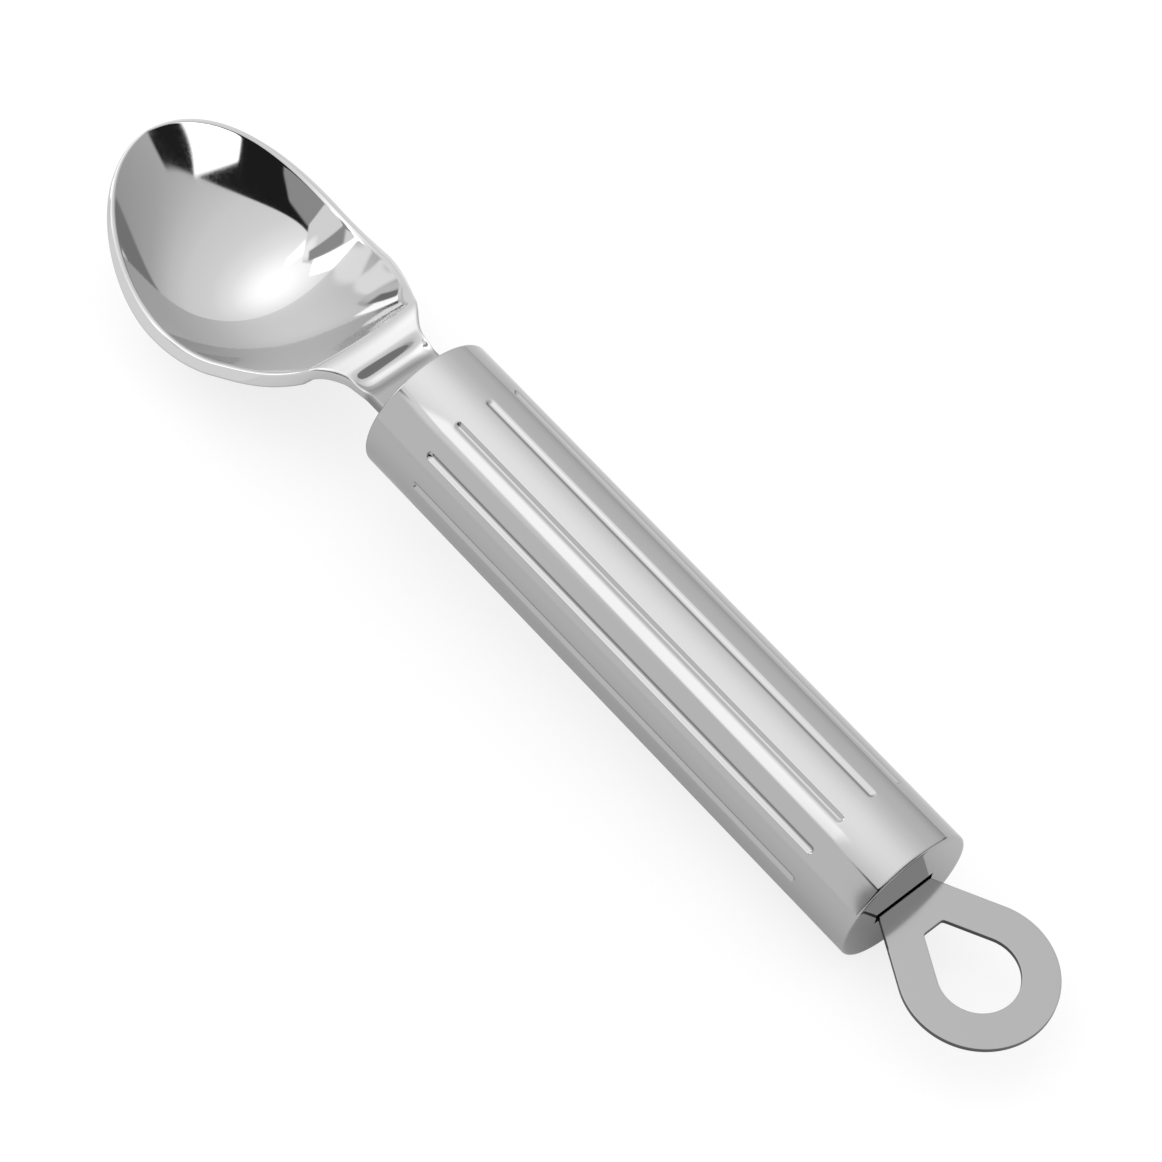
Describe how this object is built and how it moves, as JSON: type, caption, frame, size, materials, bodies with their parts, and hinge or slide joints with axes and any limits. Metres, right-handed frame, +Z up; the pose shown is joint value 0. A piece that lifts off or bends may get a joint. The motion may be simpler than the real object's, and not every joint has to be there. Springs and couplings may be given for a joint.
{
  "type": "ice cream scoop",
  "caption": "Stainless steel spoon-type ice cream scoop: deep oval bowl on a bent neck, round hollow handle with pressed grip grooves, and a flat teardrop hanging loop.",
  "frame": {"origin": "centre of the tool's box seen from above, at the height of the bowl's lowest point", "axes": "+X along the handle from the bowl to the hanging loop, +Z up out of the bowl's mouth"},
  "size_m": [0.2114, 0.041, 0.0364],
  "materials": {
    "polished_steel": "mirror polished",
    "satin_steel": "fine satin polish",
    "loop_steel": "smooth rolled plate",
    "drawn_steel": "dull, as drawn",
    "weld_steel": "as welded, with dark scale"
  },
  "bodies": {
    "root": {"scoop_head": "polished_steel", "handle_tube": "satin_steel", "front_cap": "drawn_steel", "rear_cap": "satin_steel", "hanging_loop": "loop_steel", "front_tang_weld": "weld_steel", "rear_tang_weld": "weld_steel"}
  },
  "joints": []
}
